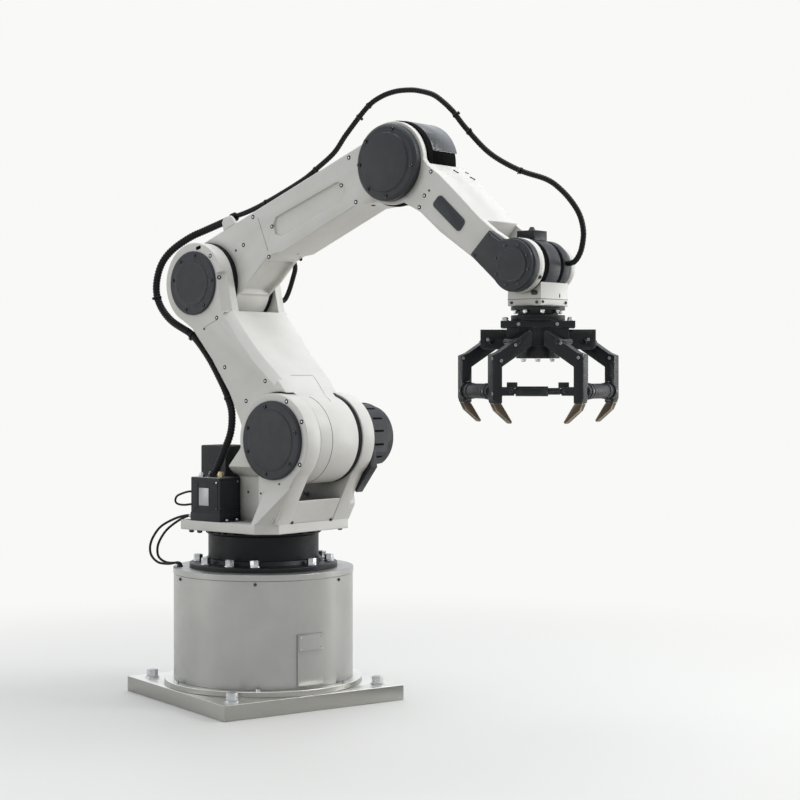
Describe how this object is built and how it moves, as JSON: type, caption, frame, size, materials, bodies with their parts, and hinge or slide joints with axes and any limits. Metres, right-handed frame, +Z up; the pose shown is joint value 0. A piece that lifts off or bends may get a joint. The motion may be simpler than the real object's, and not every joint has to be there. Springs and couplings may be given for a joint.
{
  "type": "industrial robot arm",
  "caption": "Floor-mounted industrial robot arm on a round pedestal, with jointed cast arms, round joint caps, an outside hose and a claw gripper that opens and closes.",
  "frame": {"origin": "centre of the floor plate's underside, on the slewing axis", "axes": "+Z up along the slewing axis; +X the way the arm reaches at rest; every pitch axis lies along Y"},
  "size_m": [1.9147, 0.916, 2.1789],
  "materials": {
    "ground_steel": "satin",
    "pedestal_grey": "satin",
    "casting_white": "semi-gloss",
    "slate_paint": "satin",
    "motor_grey": "satin",
    "black_metal": "satin",
    "machined_steel": "satin",
    "worn_steel": "worn",
    "seal_rubber": "matt",
    "box_black": "matt",
    "hose_black": "matt"
  },
  "bodies": {
    "base": {"base_plate": "ground_steel", "foot_flange": "ground_steel", "pedestal_shell": "pedestal_grey", "pedestal_lid": "pedestal_grey", "access_cover": "pedestal_grey", "bearing_ring": "black_metal"},
    "turntable": {"slew_drum": "black_metal", "turntable": "casting_white", "shoulder_cap": "slate_paint", "shoulder_motor": "slate_paint", "motor_bracket": "black_metal", "shoulder_shaft": "machined_steel", "junction_box": "box_black", "drive_box": "black_metal", "hose_low": "hose_black", "cables": "hose_black", "box_loop": "hose_black"},
    "lower_arm": {"lower_arm": "casting_white", "shoulder_seal": "seal_rubber", "elbow_caps": "slate_paint", "elbow_shaft": "machined_steel", "hose_arm": "hose_black", "hose_elbow": "hose_black", "hose_short": "hose_black"},
    "upper_arm": {"upper_arm": "casting_white", "elbow_seals": "seal_rubber", "hose_bracket": "casting_white", "top_seal": "seal_rubber", "top_motor_cover": "motor_grey", "motor_band": "seal_rubber", "hose_upper": "hose_black", "hose_arch": "hose_black"},
    "forearm": {"forearm": "casting_white", "top_cap": "slate_paint", "top_shaft": "machined_steel", "side_cover": "slate_paint", "wrist_cover": "slate_paint", "wrist_shaft": "machined_steel", "hose_wrist": "hose_black"},
    "wrist": {"wrist_housing": "casting_white", "wrist_drum": "motor_grey", "wrist_seals": "seal_rubber", "wrist_motor": "black_metal"},
    "tool": {"tool_flange": "black_metal", "adapter_disc": "motor_grey", "gripper_frame": "black_metal", "gripper_pins": "machined_steel"},
    "jaw_left": {"jaw_left": "slate_paint", "claws_left": "worn_steel"},
    "jaw_right": {"jaw_right": "slate_paint", "claws_right": "worn_steel"},
    "tie_tube": {"tie_tube": "black_metal"},
    "tie_rod": {"tie_rod": "machined_steel"}
  },
  "joints": [
    {"name": "slew", "type": "hinge", "parent": "base", "child": "turntable", "pos_m": [0, 0, 0.5], "axis": [0, 0, 1], "range_deg": [-170, 170], "deforming": ["cables"]},
    {"name": "shoulder", "type": "hinge", "parent": "turntable", "child": "lower_arm", "pos_m": [0.24, 0, 0.954], "axis": [0, 1, 0], "range_deg": [-12, 60], "deforming": ["hose_low"]},
    {"name": "elbow", "type": "hinge", "parent": "lower_arm", "child": "upper_arm", "pos_m": [-0.2, 0, 1.524], "axis": [0, -1, 0], "range_deg": [-25, 65], "deforming": ["hose_elbow", "hose_short"]},
    {"name": "upper_elbow", "type": "hinge", "parent": "upper_arm", "child": "forearm", "pos_m": [0.713, 0, 1.906], "axis": [0, -1, 0], "range_deg": [-25, 80], "deforming": ["hose_arch"]},
    {"name": "wrist_pitch", "type": "hinge", "parent": "forearm", "child": "wrist", "pos_m": [1.245, 0, 1.539], "axis": [0, 1, 0], "range_deg": [-100, 60], "deforming": ["hose_wrist"]},
    {"name": "tool_roll", "type": "hinge", "parent": "wrist", "child": "tool", "pos_m": [1.245, 0, 1.4], "axis": [0, 0, 1], "range_deg": [-175, 175]},
    {"name": "grip", "type": "hinge", "parent": "tool", "child": "jaw_left", "pos_m": [1.25026, -0.13136, 1.294], "axis": [-0.8616, 0.5075, 0], "range_deg": [-5, 9]},
    {"name": "grip_right", "type": "hinge", "parent": "tool", "child": "jaw_right", "pos_m": [1.36749, -0.04774, 1.294], "axis": [0.1994, -0.9799, 0], "range_deg": [-5, 9]},
    {"name": "tie_left", "type": "hinge", "parent": "jaw_left", "child": "tie_tube", "pos_m": [1.23757, -0.1529, 1.134], "axis": [-0.8616, 0.5075, 0], "range_deg": [-9, 5]},
    {"name": "tie_right", "type": "hinge", "parent": "jaw_right", "child": "tie_rod", "pos_m": [1.39199, -0.04276, 1.134], "axis": [0.1994, -0.9799, 0], "range_deg": [-9, 5]}
  ],
  "couplings": [
    {"joint": "grip_right", "follows": "grip", "ratio": 1},
    {"joint": "tie_left", "follows": "grip", "ratio": -1},
    {"joint": "tie_right", "follows": "grip", "ratio": -1}
  ]
}
